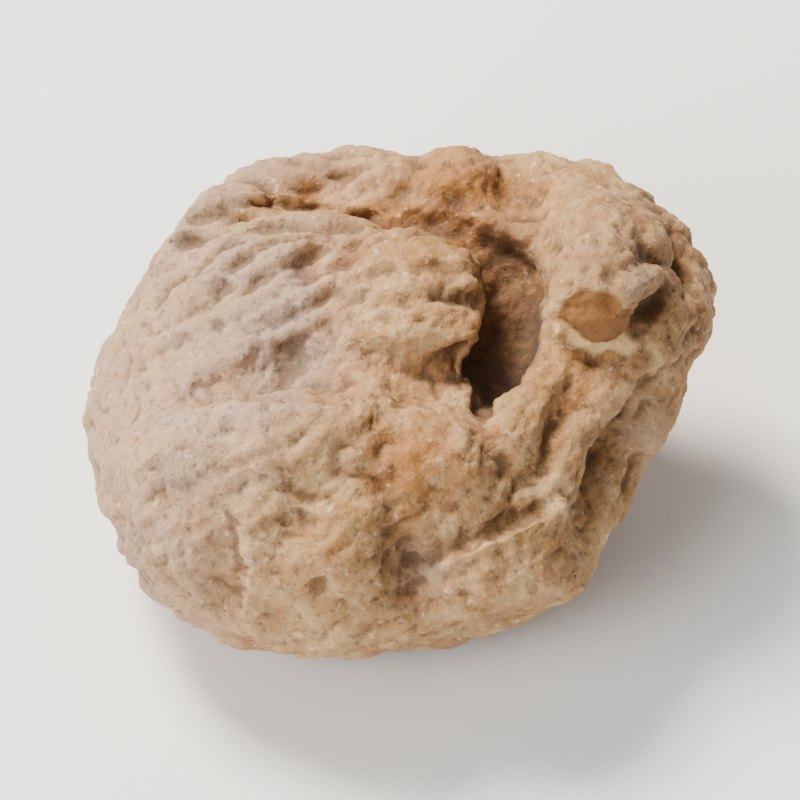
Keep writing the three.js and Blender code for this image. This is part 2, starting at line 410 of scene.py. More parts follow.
@dataclass
class FigForm:
    """The fig's form without its folds and wrinkles, as a distance to the skin."""

    lobes: tuple[Lobe, ...] = (
        Lobe((-3.4, 0.0, 9.6), (17.5, 16.8, 10.5)),
        Lobe((5.2, 3.8, 10.4), (10.8, 11.0, 9.8)),
        Lobe((-7.4, -6.6, 10.8), (11.6, 10.4, 9.4)),
        Lobe((3.2, -7.8, 10.0), (7.8, 8.0, 8.8)),
        Lobe((-7.8, 4.6, 13.6), (9.4, 9.4, 7.4)),
        Lobe((2.4, 5.6, 14.0), (12.0, 9.4, 7.8)),
        Lobe((11.8, 3.8, 13.8), (6.2, 7.6, 5.6)),
    )
    rolls: tuple[Roll, ...] = (
        # back rim, running on into the neck
        Roll(
            (
                (-15.2, 9.0, 1.5, 0.4), (-12.0, 11.6, 1.9, 0.9), (-9.2, 13.6, 2.4, 1.7),
                (-6.4, 14.2, 2.4, 1.9), (-2.8, 14.3, 2.8, 2.4), (0.4, 13.8, 2.5, 2.2),
                (3.6, 13.8, 3.0, 2.7), (6.4, 13.7, 2.7, 2.5), (9.6, 13.4, 3.1, 2.9),
                (12.2, 12.2, 3.2, 3.2),
            )
        ),
        # the hood round the neck
        Roll(
            (
                (12.2, 12.2, 3.2, 3.2), (15.2, 10.2, 3.2, 3.2), (17.3, 7.2, 3.1, 3.0),
                (17.1, 4.8, 2.8, 2.6), (15.2, 2.8, 2.4, 2.0), (12.8, 0.9, 2.2, 1.9),
                (10.9, -1.4, 2.1, 1.9), (9.7, -3.8, 2.0, 1.7), (8.9, -6.2, 1.7, 1.1),
            )
        ),
        # skin drawn up from the hood on to the neck
        Roll(
            (
                (13.4, 11.4, 3.0, 4.2), (14.7, 9.3, 2.6, 5.0), (15.4, 7.6, 2.0, 4.6),
                (15.9, 5.6, 1.8, 3.6), (15.7, 3.9, 1.2, 2.4),
            )
        ),
        # the ridge under the neck
        Roll(
            (
                (11.4, 1.6, 2.1, 1.0), (9.7, 0.9, 2.5, 1.8), (7.6, -0.6, 2.6, 1.9),
                (6.2, -2.9, 2.3, 1.4),
            )
        ),
        # right rim
        Roll(
            (
                (16.6, 1.4, 1.8, 1.3), (14.9, -1.6, 2.3, 1.7), (13.1, -4.6, 2.4, 1.7),
                (11.4, -7.6, 2.4, 1.4), (9.0, -10.8, 2.6, 1.0),
            )
        ),
        # the middle swelling's three folds
        Roll(((-1.4, 9.6, 1.6, 1.6), (0.8, 9.8, 1.8, 2.2), (2.8, 9.2, 1.6, 2.0))),
        Roll(((-3.0, 7.8, 1.0, 1.6), (0.2, 7.6, 1.2, 2.2), (3.6, 7.7, 1.1, 2.0))),
        Roll(((-2.8, 4.6, 2.4, 1.8), (0.6, 4.7, 2.7, 2.7), (3.1, 4.2, 2.3, 2.3))),
        # the front cheek and its bosses
        Roll(((-14.2, -3.6, 3.6, 0.8), (-8.4, -3.0, 4.2, 1.7), (-3.6, -2.8, 3.8, 1.7))),
        Roll(((0.4, -4.0, 3.4, 1.8), (3.0, -4.0, 3.0, 1.6))),
        Roll(((-4.4, -9.4, 3.4, 1.3), (-3.6, -7.4, 3.0, 1.2))),
        Roll(((4.4, -11.4, 2.8, 1.1), (7.4, -10.2, 3.2, 1.3))),
    )
    hollows: tuple[Hollow, ...] = (
        # under the back rim, and round into the hollow under the neck
        Hollow(
            (
                (-10.4, 12.8, 0.4, 0.2), (-7.4, 12.9, 0.55, 0.8), (-3.8, 12.6, 0.6, 1.4),
                (-1.0, 12.0, 0.65, 1.7), (1.6, 11.6, 0.75, 2.1), (3.8, 11.0, 0.95, 2.6),
                (5.4, 10.0, 1.3, 3.0), (6.8, 8.8, 1.8, 3.4), (7.2, 7.0, 2.0, 3.9),
                (6.9, 5.0, 1.8, 3.9), (6.3, 3.0, 1.5, 3.4), (5.7, 1.2, 1.1, 2.5),
                (5.0, -0.4, 0.7, 1.3),
            )
        ),
        # a spur of the hollow into the middle swelling
        Hollow(((7.0, 3.8, 1.2, 2.6), (5.2, 2.6, 0.7, 1.6), (3.4, 2.6, 0.3, 0.4))),
        # left of the middle swelling
        Hollow(((-3.2, 10.2, 0.3, 0.7), (-3.9, 8.6, 0.4, 1.2), (-4.2, 6.6, 0.4, 1.0), (-4.8, 4.6, 0.5, 0.6))),
        # the dent on the left
        Hollow(((-13.0, 1.4, 1.6, 0.5), (-7.4, 2.8, 2.8, 1.4), (-4.4, 1.6, 1.8, 0.6))),
        # the pucker low on the front
        Hollow(
            (
                (-0.9, -7.9, 0.4, 0.9), (-0.1, -9.2, 1.0, 1.8), (0.2, -10.6, 1.6, 2.2),
                (0.6, -12.6, 1.9, 1.4),
            )
        ),
        # the crease inside the right rim
        Hollow(
            (
                (16.6, 2.4, 0.3, 0.9), (13.8, -0.3, 0.4, 1.8), (11.8, -3.0, 0.7, 2.8),
                (10.4, -6.2, 0.35, 1.3),
            )
        ),
        # the slit beside the broken stalk
        Hollow(((14.7, 4.9, 0.45, 0.8), (15.5, 5.8, 0.8, 0.0), (16.8, 7.4, 0.45, -1.2))),
    )
    neck: Neck = Neck(
        (
            (11.4, 12.2, 18.6, 3.0), (12.4, 10.8, 20.4, 3.2), (12.7, 9.2, 21.5, 3.2),
            (12.7, 7.9, 21.8, 3.2), (12.4, 6.6, 21.9, 3.1), (12.1, 5.2, 22.0, 3.0),
        )
    )
    stalk: StalkEnd = StalkEnd()
    lobe_blend: float = 2.5
    roll_blend: float = 0.9
    hollow_blend: float = 0.8
    neck_blend: float = 0.7
    floor_blend: float = 1.0
    middle: tuple[float, float, float] = (0.0, 0.0, 10.0)

    def __post_init__(self) -> None:
        """Sets the rolls, the hollows and the neck on the flesh."""
        self.roll_chains = [roll.chain(self) for roll in self.rolls]
        self.hollow_chains = [hollow.chain(self) for hollow in self.hollows]
        self.neck_chain = self.neck.chain()

    def flesh_distance(self, points: np.ndarray) -> np.ndarray:
        """Measures how far points are from the swollen flesh alone.

        Args:
            points: The points.

        Returns:
            The distance at each point, negative inside.
        """
        skin = np.full(len(points), np.inf)
        for lobe in self.lobes:
            skin = smooth_min(skin, lobe.distance(points), self.lobe_blend)
        return skin

    def flesh_at(self, across: float, up: float) -> np.ndarray:
        """Finds the flesh that shows at a place on the drawing plane, or comes nearest to showing there.

        Args:
            across: How far across the place is.
            up: How far up the place is.

        Returns:
            The point on the flesh.
        """
        travelled = np.linspace(30.0, -30.0, 481)[:, None]
        line = PLANE.place(across, up, PLANE.height) + PLANE.facing * travelled
        gaps = self.flesh_distance(line)
        inside = np.flatnonzero(gaps < 0.0)
        return line[inside[0] if len(inside) else np.argmin(gaps)]

    def swollen_distance(self, points: np.ndarray) -> np.ndarray:
        """Measures how far points are from the flesh and its rolls.

        Args:
            points: The points.

        Returns:
            The distance at each point, negative inside.
        """
        skin = self.flesh_distance(points)
        for chain in self.roll_chains:
            skin = smooth_min(skin, chain.distance(points), self.roll_blend)
        return skin

    def hollowed(self, skin: np.ndarray, points: np.ndarray) -> np.ndarray:
        """Cuts the hollows, and everything under the table.

        Args:
            skin: The distance to the skin at each point.
            points: The points.

        Returns:
            The distance to what is left.
        """
        for chain in self.hollow_chains:
            skin = smooth_max(skin, -chain.distance(points), self.hollow_blend)
        return smooth_max(skin, -points[:, 2], self.floor_blend)

    def body_distance(self, points: np.ndarray) -> np.ndarray:
        """Returns how far each point is from the fruit without its neck, negative inside."""
        return self.hollowed(self.swollen_distance(points), points)

    def distance(self, points: np.ndarray) -> np.ndarray:
        """Returns how far each point is from the whole skin, negative inside."""
        neck = self.stalk.open(self.neck_chain.distance(points), points, self.neck_chain)
        return self.hollowed(smooth_min(self.swollen_distance(points), neck, self.neck_blend), points)


# ---------------------------------------------------------------- folds


class FoldKind(Enum):
    """How the skin's height runs across a fold."""

    FURROW = "a narrow crease"
    DENT = "a rounded dip"
    RIDGE = "a rounded ridge"
    LAP = "skin that laps over its neighbour, on the left of the line"


@dataclass(frozen=True)
class Fold:
    """A fold along a line on the drawing plane, in millimetres."""

    kind: FoldKind
    line: tuple[tuple[float, float], ...]
    width: float
    height: float

    def smooth_line(self, steps: int = 5) -> np.ndarray:
        """Runs a Catmull-Rom curve through the line's points.

        Args:
            steps: How many pieces each stretch is cut into.

        Returns:
            The curve's points.
        """
        points = np.array(self.line, float)
        if len(points) < 3:
            return points
        ends = np.vstack([2 * points[0] - points[1], points, 2 * points[-1] - points[-2]])
        shares = np.linspace(0.0, 1.0, steps, endpoint=False)[:, None]
        stretches = [
            b
            + 0.5 * shares * (c - a)
            + shares**2 * (a - 2.5 * b + 2 * c - 0.5 * d)
            + shares**3 * (1.5 * b - 0.5 * a - 1.5 * c + 0.5 * d)
            for a, b, c, d in zip(ends[:-3], ends[1:-2], ends[2:-1], ends[3:])
        ]
        return np.vstack([*stretches, points[-1:]])

    def rise(self, places: np.ndarray) -> np.ndarray:
        """Works out how far the fold lifts the skin.

        Args:
            places: Where the skin's points show on the drawing plane.

        Returns:
            The lift at each place, negative where the skin is pressed in.
        """
        line = self.smooth_line()
        spans = len(line) - 1
        nearest = np.full(len(places), np.inf)
        side = np.zeros(len(places))
        along_line = np.zeros(len(places))
        for index in range(spans):
            start, along = line[index], line[index + 1] - line[index]
            offset = places - start
            share = np.clip(offset @ along / (along @ along), 0.0, 1.0)
            gap = np.linalg.norm(offset - share[:, None] * along, axis=1)
            closer = gap < nearest
            nearest = np.where(closer, gap, nearest)
            side = np.where(closer, np.sign(along[0] * offset[:, 1] - along[1] * offset[:, 0]), side)
            along_line = np.where(closer, (index + share) / spans, along_line)
        taper = np.sqrt(np.sin(np.pi * (along_line * 0.84 + 0.08)))
        across = nearest / self.width
        if self.kind is FoldKind.FURROW:
            profile = -np.exp(-1.2 * np.sqrt(across**2 + 0.02))
        elif self.kind is FoldKind.DENT:
            profile = -np.exp(-(across**2))
        elif self.kind is FoldKind.RIDGE:
            profile = np.exp(-(across**2))
        else:
            over = 0.5 + 0.5 * np.tanh(side * nearest / 0.22)
            profile = over * np.exp(-across / 2.2) - (1.0 - over) * np.exp(-across / 0.9)
        return self.height * taper * profile


FURROW, DENT, RIDGE, LAP = FoldKind.FURROW, FoldKind.DENT, FoldKind.RIDGE, FoldKind.LAP

FRONT_FOLDS: tuple[Fold, ...] = (
    # the back rim lapping over the shoulder, and the pleats below it
    Fold(
        LAP,
        ((-14.9, 10.2), (-13.2, 12.3), (-10.3, 12.8), (-7.4, 13.0), (-3.8, 12.5), (-1.0, 11.8)),
        0.7,
        0.8,
    ),
    Fold(LAP, ((-14.4, 10.6), (-11.6, 11.7), (-9.0, 12.2), (-5.4, 12.3)), 0.45, 0.6),
    Fold(LAP, ((-12.0, 9.8), (-9.8, 11.1), (-7.4, 11.6), (-3.8, 11.6), (-1.4, 11.2)), 0.45, 0.7),
    Fold(LAP, ((-11.0, 9.2), (-8.0, 10.6), (-5.4, 10.8), (-2.8, 10.6)), 0.4, 0.6),
    Fold(LAP, ((-13.6, 8.5), (-10.4, 9.1), (-7.4, 9.5), (-5.4, 10.0), (-3.2, 10.2)), 0.4, 0.7),
    Fold(LAP, ((-17.3, 8.4), (-14.7, 10.0), (-12.3, 11.4)), 0.5, 0.5),
    Fold(LAP, ((-16.6, 5.2), (-13.8, 6.9), (-11.0, 7.9), (-8.4, 8.4)), 0.5, 0.55),
    Fold(LAP, ((-17.0, 2.2), (-14.2, 4.2), (-11.2, 5.4), (-8.6, 5.8)), 0.5, 0.45),
    # round and across the middle swelling
    Fold(FURROW, ((-3.4, 9.9), (-1.6, 11.1), (0.6, 11.5), (2.8, 11.2)), 0.45, 0.7),
    Fold(LAP, ((-3.6, 8.6), (-1.2, 8.5), (1.6, 8.7), (4.4, 8.5)), 0.4, 0.8),
    Fold(LAP, ((-4.0, 7.0), (-1.0, 6.7), (1.9, 6.9), (4.7, 6.9)), 0.45, 0.9),
    Fold(FURROW, ((-3.9, 8.9), (-3.4, 9.4), (-3.3, 10.0)), 0.5, 0.6),
    Fold(FURROW, ((-3.6, 4.6), (-0.8, 5.3), (2.0, 4.8), (4.2, 5.2)), 0.45, 0.4),
    Fold(FURROW, ((1.6, 2.6), (3.4, 3.0), (5.2, 3.4)), 0.5, 0.7),
    Fold(DENT, ((2.6, 1.6), (4.2, 2.2), (5.4, 2.0)), 0.9, 1.1),
    # down the right side
    Fold(LAP, ((10.4, -6.6), (11.7, -3.2), (13.6, -0.4), (16.0, 1.9), (18.5, 3.0)), 0.5, 0.7),
    Fold(FURROW, ((11.6, 1.8), (9.8, -0.4), (8.8, -3.7), (7.5, -5.6)), 0.5, 0.55),
    Fold(FURROW, ((4.7, -2.1), (5.8, -3.7), (7.0, -5.3)), 0.6, 1.0),
    Fold(LAP, ((9.6, -6.4), (8.4, -7.4), (6.8, -8.2), (4.9, -8.9), (2.4, -10.2)), 0.7, 1.1),
    Fold(DENT, ((15.2, -3.4), (14.0, -6.2)), 0.7, 0.5),
    # the pucker low on the front
    Fold(LAP, ((3.9, -13.0), (2.2, -11.4), (1.7, -10.2), (0.7, -8.6), (-0.9, -7.5)), 0.5, 0.5),
    Fold(LAP, ((-0.9, -7.5), (-1.3, -9.6), (-2.4, -11.4)), 0.5, 0.5),
    Fold(FURROW, ((0.4, -9.0), (0.6, -11.0), (0.2, -12.6)), 0.4, 0.4),
    # the front and left
    Fold(DENT, ((-11.6, -8.0), (-11.5, -10.5), (-11.8, -12.8)), 1.4, 1.1),
    Fold(LAP, ((-10.6, -8.2), (-10.3, -10.5), (-10.6, -13.4)), 0.5, 0.7),
    Fold(DENT, ((-5.7, -12.1), (-5.4, -12.4)), 0.5, 1.0),
    Fold(LAP, ((-9.4, -8.2), (-6.8, -7.2), (-5.2, -7.4)), 0.5, 0.5),
    Fold(FURROW, ((-7.4, -5.0), (-5.6, -6.4), (-2.0, -6.0), (-0.6, -4.6)), 0.5, 0.5),
    Fold(DENT, ((-7.9, 3.2), (-6.4, 2.6)), 2.0, 0.8),
    Fold(FURROW, ((-17.4, -1.2), (-13.3, 0.9), (-11.4, 1.2)), 0.7, 0.6),
    Fold(LAP, ((-4.0, 0.6), (-7.4, 0.4), (-10.7, -0.2), (-14.4, -1.8)), 0.6, 0.6),
    Fold(DENT, ((-6.9, 8.4), (-6.1, 8.5)), 0.6, 0.9),
    # across the back rim
    Fold(FURROW, ((-4.9, 16.6), (-4.4, 15.0), (-4.2, 13.6)), 0.8, 0.9),
    Fold(FURROW, ((1.1, 17.0), (0.2, 14.6), (-0.8, 12.9)), 0.8, 1.0),
    Fold(FURROW, ((6.2, 17.0), (6.4, 15.0), (6.3, 13.0)), 0.7, 0.8),
    Fold(DENT, ((-6.3, 13.9), (-6.1, 13.4)), 1.2, 0.7),
    Fold(DENT, ((2.6, 13.0), (4.2, 13.0)), 1.3, 0.8),
    # the neck and the hood beside it
    Fold(FURROW, ((10.0, 11.0), (12.0, 11.8), (14.4, 11.2), (16.0, 9.8)), 0.4, 0.5),
    Fold(FURROW, ((12.2, 10.0), (14.2, 10.0), (16.4, 9.4), (18.6, 8.0)), 0.4, 0.7),
    Fold(RIDGE, ((13.6, 6.9), (14.9, 7.4), (16.0, 8.2)), 0.7, 0.9),
    Fold(FURROW, ((13.2, 8.6), (14.8, 8.9), (16.6, 9.0), (18.4, 7.2)), 0.35, 0.8),
    Fold(FURROW, ((14.2, 5.6), (15.4, 6.0), (16.9, 7.6)), 0.45, 0.9),
    Fold(RIDGE, ((12.0, 8.2), (12.3, 7.0), (12.3, 6.1)), 0.4, 0.6),
    Fold(FURROW, ((13.0, 8.4), (13.0, 7.2), (12.9, 6.2)), 0.3, 0.8),
    Fold(FURROW, ((11.3, 8.8), (11.3, 7.4), (11.4, 6.3)), 0.3, 0.8),
    Fold(FURROW, ((10.2, 9.8), (9.9, 7.6), (10.4, 6.0)), 0.3, 0.6),
    Fold(DENT, ((12.0, 2.9), (12.4, 2.4)), 0.7, 0.8),
    Fold(LAP, ((17.4, 3.6), (18.6, 5.4), (18.4, 7.4)), 0.5, 0.6),
)


# ---------------------------------------------------------------- skin


class Skin:
    """A closed skin of small quads, in millimetres, that can be smoothed, lifted and wrinkled."""

    def __init__(self, mesh: bpy.types.Mesh) -> None:
        """Reads the mesh's vertices, and joins each to its neighbours along edges and across quads.

        Args:
            mesh: The skin's mesh.
        """
        self.mesh = mesh
        self.count = len(mesh.vertices)
        self.points = np.empty((self.count, 3))
        self.read_points()
        self.normals = self.read_normals()
        edges = np.empty(len(mesh.edges) * 2, np.int32)
        mesh.edges.foreach_get("vertices", edges)
        corners = np.empty(len(mesh.loops), np.int32)
        mesh.loops.foreach_get("vertex_index", corners)
        starts = np.empty(len(mesh.polygons), np.int32)
        totals = np.empty(len(mesh.polygons), np.int32)
        mesh.polygons.foreach_get("loop_start", starts)
        mesh.polygons.foreach_get("loop_total", totals)
        quads = starts[totals == 4]
        one_way = np.column_stack([corners[quads], corners[quads + 2]])
        other_way = np.column_stack([corners[quads + 1], corners[quads + 3]])
        pairs = np.vstack([edges.reshape(-1, 2), one_way, other_way])
        self.start = np.concatenate([pairs[:, 0], pairs[:, 1]])
        self.end = np.concatenate([pairs[:, 1], pairs[:, 0]])
        self.even = self.shared(np.ones(len(self.start)))
        spans = np.linalg.norm(self.points[edges[0::2]] - self.points[edges[1::2]], axis=1)
        self.spacing = float(spans.mean())

    def read_points(self) -> None:
        """Reads where the mesh's vertices are."""
        flat = np.empty(self.count * 3, np.float32)
        self.mesh.vertices.foreach_get("co", flat)
        self.points = flat.reshape(-1, 3).astype(float)

    def read_normals(self) -> np.ndarray:
        """Returns the mesh's vertex normals."""
        flat = np.empty(self.count * 3, np.float32)
        self.mesh.vertex_normals.foreach_get("vector", flat)
        return flat.reshape(-1, 3).astype(float)

    def move_to(self, points: np.ndarray) -> None:
        """Moves the skin's vertices and reads its normals again.

        Args:
            points: Where each vertex goes.
        """
        self.points = points
        self.mesh.vertices.foreach_set("co", points.astype(np.float32).ravel())
        self.mesh.update()
        self.normals = self.read_normals()

    def lift(self, rise: np.ndarray) -> None:
        """Moves each vertex along its normal."""
        self.move_to(self.points + self.normals * rise[:, None])

    def shared(self, weights: np.ndarray) -> np.ndarray:
        """Returns the weights with each vertex's own adding up to one."""
        total = np.bincount(self.start, weights, self.count)
        return weights / np.maximum(total[self.start], 1e-9)

    def along(self, directions: np.ndarray) -> np.ndarray:
        """Weighs each vertex's neighbours by how well they line up with a direction.

        Args:
            directions: The direction at each vertex.

        Returns:
            The weight of each join.
        """
        steps = unit(self.points[self.end] - self.points[self.start])
        lined_up = np.abs((steps * directions[self.start]).sum(1))
        return self.shared(lined_up**4 + 0.02)

    def smooth(self, values: np.ndarray, passes: int, weights: np.ndarray | None = None) -> np.ndarray:
        """Averages values with their neighbours'.

        Args:
            values: A number or a vector at each vertex.
            passes: How many times to average.
            weights: The weight of each join, or nothing for even ones.

        Returns:
            The averaged values.
        """
        used = self.even if weights is None else weights
        columns = values.reshape(self.count, -1).copy()
        for _ in range(passes):
            for column in columns.T:
                column += 0.8 * (np.bincount(self.start, used * column[self.end], self.count) - column)
        return columns.reshape(values.shape)

    def passes_for(self, reach: float) -> int:
        """Returns how many smoothing passes blur the skin over that many millimetres."""
        return max(1, round((reach / self.spacing) ** 2 / 0.6))

    def sunkenness(self, reach: float) -> np.ndarray:
        """Returns how far each vertex lies below the skin around it, in millimetres."""
        around = self.smooth(self.points, self.passes_for(reach))
        return ((around - self.points) * self.normals).sum(1)

    def stripes(self, directions: np.ndarray, wavelength: float, stretch: int, seed: int) -> np.ndarray:
        """Grows wavy stripes on the skin, the way creases crowd together on drying skin.

        Args:
            directions: Which way the stripes run at each vertex.
            wavelength: How far apart they are, in millimetres.
            stretch: How many passes draw them out lengthwise in each round.
            seed: The seed that they grow from.

        Returns:
            A field from -1 in the creases to 1 on the folds.
        """
        rounds, narrow, wide = 12, wavelength / 5.7, 1.25
        fine, coarse = self.passes_for(narrow), self.passes_for(narrow * wide)
        lengthwise = self.along(directions)
        field_ = np.random.default_rng(seed).normal(size=self.count)
        for _ in range(rounds):
            small = self.smooth(field_, fine)
            field_ = self.smooth(small - self.smooth(small, coarse), stretch, lengthwise)
            field_ = np.tanh(1.6 * field_ / np.sqrt(np.mean(field_**2)))
        return field_

    def keep(self, name: str, values: np.ndarray) -> None:
        """Stores a number at each vertex for the material to read."""
        layer = self.mesh.attributes.new(name, "FLOAT", "POINT")
        layer.data.foreach_set("value", values.astype(np.float32))


def remesh(mesh: bpy.types.Mesh, voxel: float) -> bpy.types.Mesh:
    """Remeshes to one closed skin of even quads.

    Args:
        mesh: The mesh, which may be several shells that run into each other.
        voxel: The quads' size, in the mesh's units.

    Returns:
        The new mesh.
    """
    carrier = bpy.data.objects.new("carrier", mesh)
    bpy.context.scene.collection.objects.link(carrier)
    modifier = carrier.modifiers.new("even_skin", "REMESH")
    modifier.mode = "VOXEL"
    modifier.voxel_size = voxel
    depsgraph = bpy.context.evaluated_depsgraph_get()
    made = bpy.data.meshes.new_from_object(carrier.evaluated_get(depsgraph))
    bpy.data.objects.remove(carrier)
    return made


# ---------------------------------------------------------------- finishes


def srgb(code: str, alpha: float = 1.0) -> tuple[float, float, float, float]:
    """Turns an sRGB hex colour to linear.

    Args:
        code: The colour, as six hex digits.
        alpha: Its opacity.

    Returns:
        The linear colour.
    """
    channels = [int(code[i : i + 2], 16) / 255 for i in (0, 2, 4)]
    linear = [c / 12.92 if c <= 0.04045 else ((c + 0.055) / 1.055) ** 2.4 for c in channels]
    return (linear[0], linear[1], linear[2], alpha)


def add_node(tree: bpy.types.NodeTree, kind: str, settings: dict[str, Any], **links: Any) -> bpy.types.Node:
    """Adds a node with its settings and its links.

    Args:
        tree: The material's node tree.
        kind: The node's type.
        settings: Attributes of the node, and inputs given as "in:name" or "in:number".
        links: Input names, with underscores for spaces, and the output sockets that feed them.

    Returns:
        The node.
    """
    node = tree.nodes.new(kind)
    for key, value in settings.items():
        if key.startswith("in:"):
            name = key[3:]
            node.inputs[int(name) if name.isdigit() else name].default_value = value
        else:
            setattr(node, key, value)
    for key, socket in links.items():
        name = key.replace("_", " ")
        target = node.inputs[int(key[1:])] if key[1:].isdigit() else node.inputs[name]
        tree.links.new(socket, target)
    return node


@dataclass(frozen=True)
class Tint:
    """A colour laid over those before it, where a mark on the skin says, or else in patches of a size."""

    code: str
    share: float = 1.0
    mark: str = ""
    patch_mm: float = 0.0
    low: float = 0.0
    high: float = 1.0
    detail: float = 2.0


@dataclass(frozen=True)
class SunDriedFigSkin:
    """Dried fig skin: thin, leathery and matt, dusted with bloom, over seedy flesh that shows through.

    Drying in the sun shrinks it to fine creases. It gives the eye a dull tan that turns to amber where
    the skin is thin over sugar, and to a dusty pink-grey where bloom lies; dark brown shade is painted deep
    in the folds.
    """

    tan: str = "A68257"
    tints: tuple[Tint, ...] = (
        Tint("C09D6E", 1.0, patch_mm=3.6, low=0.38, high=0.68, detail=4.0),
        Tint("855222", 0.55, patch_mm=1.6, low=0.36, high=0.7, detail=3.0),
        Tint("9A6224", 1.0, "amber"),
        Tint("7E4A30", 0.4, patch_mm=5.2, low=0.6, high=0.72),
        Tint("A48F80", 1.0, "bloom"),
        Tint("3C281A", 0.5, patch_mm=0.45, low=0.52, high=0.74),
        Tint("E2CBA8", 0.5, patch_mm=0.6, low=0.6, high=0.78),
        # painted shade: dark brown in the skin's small creases, where it lies sunken
        Tint("3A2617", 1.0, "painted_crease_shade"),
        # painted shade: near-black brown in hollows that see little of the sky
        Tint("2A1A10", 1.0, "painted_hollow_shade"),
        Tint("50301A", 1.0, "shade"),
        Tint("75481A", 1.0, "cup"),
        Tint("DDB67C", 1.0, "lip"),
    )
    grain_mm: float = 0.45
    grain_height_mm: float = 0.32
    # pores are half as wide on a real skin, too fine to show
    pore_mm: float = 0.7
    pore_height_mm: float = 0.2
    roughness: float = 0.8
    sticky_roughness: float = 0.52
    ior: float = 1.45
    specular: float = 0.3
    glow: float = 0.12
    glow_mm: float = 1.2
    glow_reach: tuple[float, float, float] = (1.0, 0.42, 0.18)
    fuzz: float = 0.05
    fuzz_roughness: float = 0.6

    def make(self) -> bpy.types.Material:
        """Builds the material.

        Returns:
            The material.
        """
        material = bpy.data.materials.new("sun_dried_fig_skin")
        material.use_nodes = True
        tree = material.node_tree
        tree.nodes.clear()
        place = add_node(tree, "ShaderNodeTexCoord", {}).outputs["Object"]
        under: dict[str, bpy.types.NodeSocket] = {}
        for tint in self.tints:
            share = None
            if tint.patch_mm:
                patches = add_node(
                    tree,
                    "ShaderNodeTexNoise",
                    {"in:Scale": 1.0 / (tint.patch_mm * MM), "in:Detail": tint.detail, "in:Roughness": 0.6},
                    Vector=place,
                )
                share = add_node(
                    tree,
                    "ShaderNodeMapRange",
                    {
                        "interpolation_type": "SMOOTHSTEP",
                        "in:From Min": tint.low,
                        "in:From Max": tint.high,
                        "in:To Max": tint.share,
                    },
                    Value=patches.outputs["Fac"],
                ).outputs["Result"]
            if tint.mark:
                share = add_node(tree, "ShaderNodeAttribute", {"attribute_name": tint.mark}).outputs["Fac"]
            mixed = add_node(
                tree,
                "ShaderNodeMix",
                {"data_type": "RGBA", "in:6": srgb(self.tan), "in:7": srgb(tint.code)},
                _0=share,
                **under,
            )
            under = {"_6": mixed.outputs[2]}
        grain = add_node(
            tree,
            "ShaderNodeTexNoise",
            {"in:Scale": 1.0 / (self.grain_mm * MM), "in:Detail": 4.0, "in:Roughness": 0.65},
            Vector=place,
        )
        pores = add_node(tree, "ShaderNodeTexVoronoi", {"in:Scale": 1.0 / (self.pore_mm * MM)}, Vector=place)
        grained = add_node(
            tree,
            "ShaderNodeBump",
            {"in:Strength": 0.6, "in:Distance": self.grain_height_mm * MM},
            Height=grain.outputs["Fac"],
        )
        pitted = add_node(
            tree,
            "ShaderNodeBump",
            {"in:Strength": 0.4, "in:Distance": self.pore_height_mm * MM},
            Height=pores.outputs["Distance"],
            Normal=grained.outputs["Normal"],
        )
        sticky = add_node(
            tree,
            "ShaderNodeMapRange",
            {"in:To Min": self.roughness, "in:To Max": self.sticky_roughness},
            Value=add_node(tree, "ShaderNodeAttribute", {"attribute_name": "amber"}).outputs["Fac"],
        )
        skin = add_node(
            tree,
            "ShaderNodeBsdfPrincipled",
            {
                "in:IOR": self.ior,
                "in:Subsurface Weight": self.glow,
                "in:Subsurface Radius": self.glow_reach,
                "in:Subsurface Scale": self.glow_mm * MM,
                "in:Specular IOR Level": self.specular,
                "in:Sheen Weight": self.fuzz,
                "in:Sheen Roughness": self.fuzz_roughness,
            },
            Base_Color=under["_6"],
            Roughness=sticky.outputs["Result"],
            Normal=pitted.outputs["Normal"],
        )
        add_node(tree, "ShaderNodeOutputMaterial", {}, Surface=skin.outputs["BSDF"])
        return material


@dataclass(frozen=True)
class PaperBackdrop:
    """Matt white backdrop paper, which gives the eye a plain pale ground with soft shadows."""

    white: str = "F2F1EE"
    roughness: float = 0.9

    def make(self) -> bpy.types.Material:
        """Builds the material.

        Returns:
            The material.
        """
        material = bpy.data.materials.new("backdrop_paper")
        material.use_nodes = True
        shader = material.node_tree.nodes["Principled BSDF"]
        shader.inputs["Base Color"].default_value = srgb(self.white)
        shader.inputs["Roughness"].default_value = self.roughness
        return material


# ---------------------------------------------------------------- the fig


@dataclass(frozen=True)
class Crumple:
    """One size of crumpling in the skin, in millimetres, and how much lower it is where pleats run."""

    size: float
    height: float
    lower: float
    seed: float


